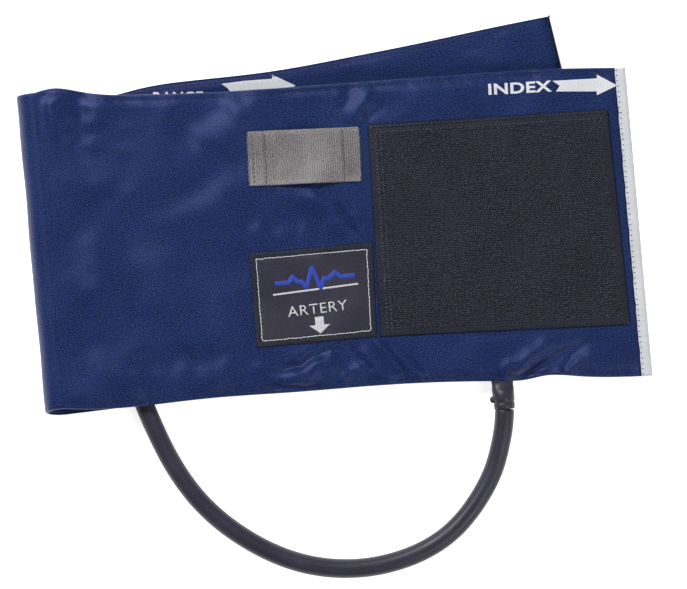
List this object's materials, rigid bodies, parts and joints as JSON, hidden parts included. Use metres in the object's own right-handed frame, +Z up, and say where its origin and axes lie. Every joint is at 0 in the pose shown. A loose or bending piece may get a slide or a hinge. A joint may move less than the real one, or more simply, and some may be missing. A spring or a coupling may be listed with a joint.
{
  "type": "blood pressure cuff",
  "caption": "Adult nylon blood pressure cuff folded in two, with a hook patch, loop patch, gauge strap, sewn label, index edge, inner air bladder and a looped air tube.",
  "frame": {"origin": "on the table, at the middle of the folded cuff's footprint without its tube", "axes": "+X along the cuff from its fold to its index end, +Y across it away from the tube, +Z up from the table"},
  "size_m": [0.299, 0.264, 0.0179],
  "materials": {
    "navy_nylon": "matt woven nylon with a fine oxford grain",
    "hook_tape": "stiff rows of moulded hooks on woven tape",
    "loop_tape": "brushed loop pile",
    "grey_webbing": "ribbed woven webbing",
    "label_satin": "dark satin label",
    "white_tape": "woven white binding tape",
    "white_thread": "polyester thread",
    "navy_thread": "polyester thread",
    "grey_thread": "polyester thread",
    "tube_rubber": "satin extruded rubber",
    "bladder_film": "smooth flexible film",
    "connector_plastic": "moulded, lightly polished"
  },
  "bodies": {
    "tail_leaf": {"outer_panel_tail": "navy_nylon", "inner_panel_tail": "navy_nylon", "loop_patch": "loop_tape", "loop_patch_seam": "navy_thread", "tail_seam_top": "navy_thread", "tail_seam_bottom": "navy_thread", "tail_hem_seam": "navy_thread", "fold_web_outer": "navy_nylon", "fold_web_inner": "navy_nylon"},
    "bladder_leaf": {"inner_panel_front": "navy_nylon", "bladder_lower_sheet": "bladder_film", "leaf_seam_top": "navy_thread", "leaf_seam_bottom": "navy_thread", "index_binding": "white_tape", "binding_seam": "white_thread", "port_neck": "tube_rubber", "air_tube": "tube_rubber", "tube_connector": "connector_plastic"},
    "swell_face": {"bladder_upper_sheet": "bladder_film", "outer_panel_front": "navy_nylon", "hook_patch": "hook_tape", "hook_patch_seam": "navy_thread", "gauge_strap": "grey_webbing", "gauge_strap_seam_left": "grey_thread", "gauge_strap_seam_right": "grey_thread", "label_patch": "label_satin", "label_border_thread": "white_thread", "label_arrow": "white_thread"}
  },
  "joints": [
    {"name": "cuff_fold", "type": "hinge", "parent": "tail_leaf", "child": "bladder_leaf", "pos_m": [-0.1371, -0.0185, 0.009], "axis": [0.0906, -0.9959, 0], "range_deg": [0, 179], "deforming": ["fold_web_outer", "fold_web_inner"]},
    {"name": "bladder_swell", "type": "slide", "parent": "bladder_leaf", "child": "swell_face", "axis": [0.0394, 0.0036, 0.9992], "range_m": [0, 0.015]}
  ]
}
